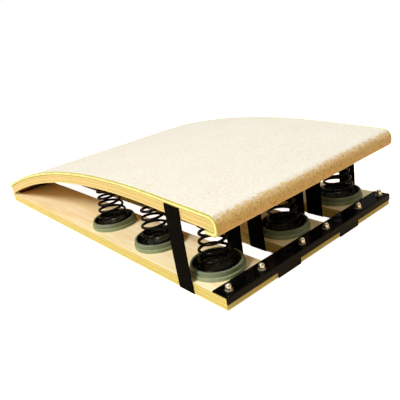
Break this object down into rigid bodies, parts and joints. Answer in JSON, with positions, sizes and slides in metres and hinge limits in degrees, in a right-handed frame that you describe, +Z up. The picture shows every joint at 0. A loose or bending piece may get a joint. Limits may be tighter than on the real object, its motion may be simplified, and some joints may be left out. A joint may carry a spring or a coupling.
{
  "type": "vaulting springboard",
  "caption": "Gymnastics vaulting springboard: curved plywood deck with carpeted foam top on conical coil springs over slim base planks joined by a steel bar.",
  "frame": {"origin": "on the floor under the middle of the board's overall box", "axes": "+X from the low run-up end to the padded nose, +Y across the width, +Z up"},
  "size_m": [1.208, 0.6048, 0.2203],
  "materials": {
    "birch_plank": "clear-lacquered birch plywood, pale face, laminated edges",
    "deck_plywood": "clear-lacquered bent birch plywood, laminated edges",
    "grip_rubber": "matte black rubber",
    "black_painted_steel": "high-gloss black enamel",
    "zinc_steel": "zinc plated",
    "bright_zinc": "bright zinc plated, satin to polished",
    "hinge_bronze": "bronzed steel strip, dull brown",
    "cup_rubber": "grey-green moulded rubber, satin",
    "black_plastic": "black moulded plastic",
    "black_spring_steel": "glossy black powder coat",
    "black_webbing": "woven black webbing, matte",
    "underlay_foam": "dense cream foam underlay",
    "beige_carpet": "short dense beige carpet pile",
    "binding_vinyl": "yellow-green edge binding, soft satin"
  },
  "bodies": {
    "base": {"cup_bolts": "zinc_steel", "cup_floor_discs": "cup_rubber", "cup_nuts": "bright_zinc", "grip_pads": "grip_rubber", "hinge_lower_leaves": "hinge_bronze", "hinge_lower_screws": "zinc_steel", "hinge_pins": "zinc_steel", "hinge_shims": "birch_plank", "plank_far": "birch_plank", "plank_middle": "birch_plank", "plank_near": "birch_plank", "spring_cup_high_far": "cup_rubber", "spring_cup_high_middle": "cup_rubber", "spring_cup_high_near": "cup_rubber", "spring_cup_low_far": "cup_rubber", "spring_cup_low_middle": "cup_rubber", "spring_cup_low_near": "cup_rubber", "spring_cup_mid_far": "cup_rubber", "spring_cup_mid_middle": "cup_rubber", "spring_cup_mid_near": "cup_rubber", "spring_high_far": "black_spring_steel", "spring_high_middle": "black_spring_steel", "spring_high_near": "black_spring_steel", "spring_low_far": "black_spring_steel", "spring_low_middle": "black_spring_steel", "spring_low_near": "black_spring_steel", "spring_mid_far": "black_spring_steel", "spring_mid_middle": "black_spring_steel", "spring_mid_near": "black_spring_steel", "strap_far": "black_webbing", "strap_middle": "black_webbing", "strap_near": "black_webbing", "tie_bar": "black_painted_steel", "tie_bar_bolts": "zinc_steel", "tie_bar_dome_nuts": "bright_zinc", "tie_bar_washers": "bright_zinc"},
    "deck": {"carpet_cover": "beige_carpet", "deck_panel": "deck_plywood", "edge_binding_far": "binding_vinyl", "edge_binding_near": "binding_vinyl", "foam_underlay": "underlay_foam", "hinge_upper_leaves": "hinge_bronze", "hinge_upper_screws": "zinc_steel", "spring_seat_high_far": "black_plastic", "spring_seat_high_middle": "black_plastic", "spring_seat_high_near": "black_plastic", "spring_seat_low_far": "black_plastic", "spring_seat_low_middle": "black_plastic", "spring_seat_low_near": "black_plastic", "spring_seat_mid_far": "black_plastic", "spring_seat_mid_middle": "black_plastic", "spring_seat_mid_near": "black_plastic", "spring_seat_screws": "zinc_steel"}
  },
  "joints": [
    {"name": "deck_flex", "type": "hinge", "parent": "base", "child": "deck", "pos_m": [-0.59729, 0, 0.0346], "axis": [0, 1, 0], "range_deg": [0, 3.2], "stiffness_Nm_per_rad": 74000, "springref_deg": -0.5, "deforming": ["spring_high_far", "spring_high_middle", "spring_high_near", "spring_low_far", "spring_low_middle", "spring_low_near", "spring_mid_far", "spring_mid_middle", "spring_mid_near", "strap_far", "strap_middle", "strap_near"]}
  ]
}
